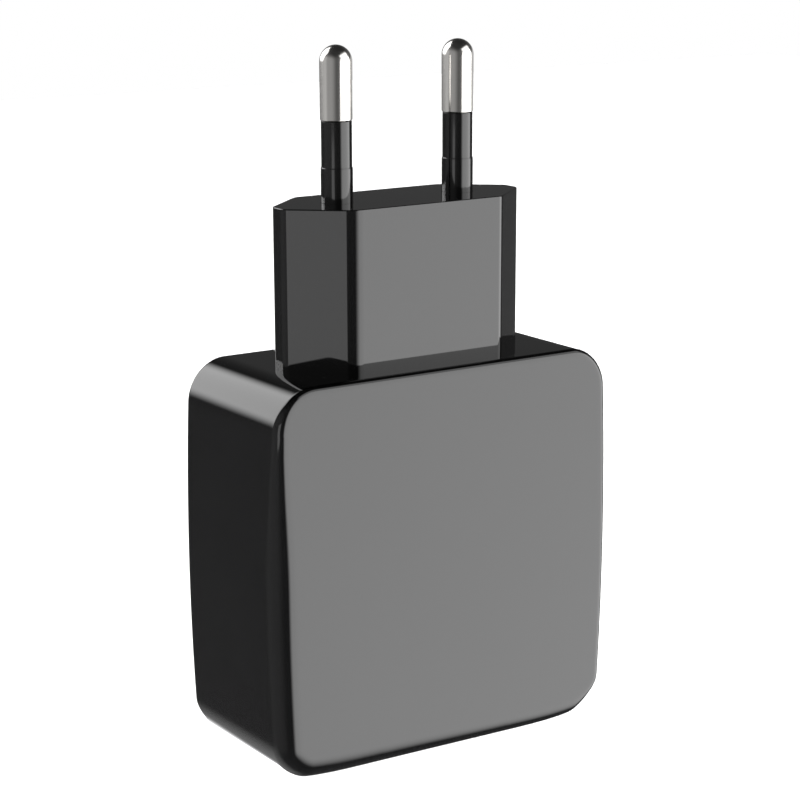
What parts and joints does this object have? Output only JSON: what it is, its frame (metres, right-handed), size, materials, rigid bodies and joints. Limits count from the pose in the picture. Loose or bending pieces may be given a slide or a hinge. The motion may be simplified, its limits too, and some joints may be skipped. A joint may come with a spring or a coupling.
{
  "type": "usb wall charger",
  "caption": "USB mains charger: gloss rounded box with an octagonal plug boss and sleeved round pins at one end, USB sockets at the other.",
  "frame": {"origin": "middle of the USB end of the body, on the plane it stands on", "axes": "+X across the wide face, -Y out of the front face, +Z towards the tips of the plug pins"},
  "size_m": [0.0498, 0.0224, 0.0883],
  "materials": {
    "gloss_black": "polished piano black",
    "cover_black": "fine satin black",
    "sleeve_black": "smooth black",
    "carrier_white": "plain moulded",
    "nickel": "bright nickel plate on brass",
    "brass": "bare stamped sheet",
    "steel": "nickel-plated sheet",
    "gold": "gold-flashed spring bronze",
    "tongue_black": "moulded, slightly glossy",
    "board_green": "solder mask over glass-epoxy laminate",
    "ferrite": "pressed and sintered ferrite",
    "bobbin_plastic": "moulded",
    "yellow_tape": "smooth polyester tape",
    "copper_enamel": "enamelled copper wire",
    "capacitor_sleeve": "shrunk sleeve over a can",
    "blue_ceramic": "dipped epoxy",
    "fuse_coating": "baked coating",
    "chip_epoxy": "moulded epoxy",
    "opto_epoxy": "moulded epoxy",
    "thermal_silicone": "soft silicone pad",
    "insulation_film": "thin film"
  },
  "bodies": {
    "charger": {"main_housing": "gloss_black", "usb_end_cover": "cover_black", "pin_carrier": "carrier_white", "main_board": "board_green", "transformer_core_upper": "ferrite", "transformer_core_lower": "ferrite", "transformer_bobbin": "bobbin_plastic", "transformer_winding": "copper_enamel", "transformer_tape": "yellow_tape", "bulk_capacitor_lower": "capacitor_sleeve", "bulk_capacitor_upper": "capacitor_sleeve", "output_capacitor_lower": "capacitor_sleeve", "output_capacitor_upper": "capacitor_sleeve", "safety_capacitor": "blue_ceramic", "filter_choke_core": "ferrite", "filter_choke_winding": "copper_enamel", "fuse_resistor": "fuse_coating", "optocoupler": "opto_epoxy", "bridge_rectifier": "chip_epoxy", "primary_controller": "chip_epoxy", "output_rectifier": "chip_epoxy", "port_controller": "chip_epoxy", "thermal_pad": "thermal_silicone", "insulation_sheet": "insulation_film", "pin_left": "nickel", "pin_sleeve_left": "sleeve_black", "mains_contact_left": "brass", "usb_shell_left": "steel", "usb_tongue_left": "tongue_black", "pin_right": "nickel", "pin_sleeve_right": "sleeve_black", "mains_contact_right": "brass", "usb_shell_right": "steel", "usb_tongue_right": "tongue_black"},
    "left_port_springs": {"usb_contact_left_1": "gold", "usb_contact_left_2": "gold", "usb_contact_left_3": "gold", "usb_contact_left_4": "gold"},
    "right_port_springs": {"usb_contact_right_1": "gold", "usb_contact_right_2": "gold", "usb_contact_right_3": "gold", "usb_contact_right_4": "gold"}
  },
  "joints": [
    {"name": "left_port_spring_flex", "type": "hinge", "parent": "charger", "child": "left_port_springs", "pos_m": [-0.01, -0.00045, 0.0108], "axis": [-1, 0, 0], "range_deg": [0, 4], "stiffness_Nm_per_rad": 0.15},
    {"name": "right_port_spring_flex", "type": "hinge", "parent": "charger", "child": "right_port_springs", "pos_m": [0.01, -0.00045, 0.0108], "axis": [-1, 0, 0], "range_deg": [0, 4], "stiffness_Nm_per_rad": 0.15}
  ]
}
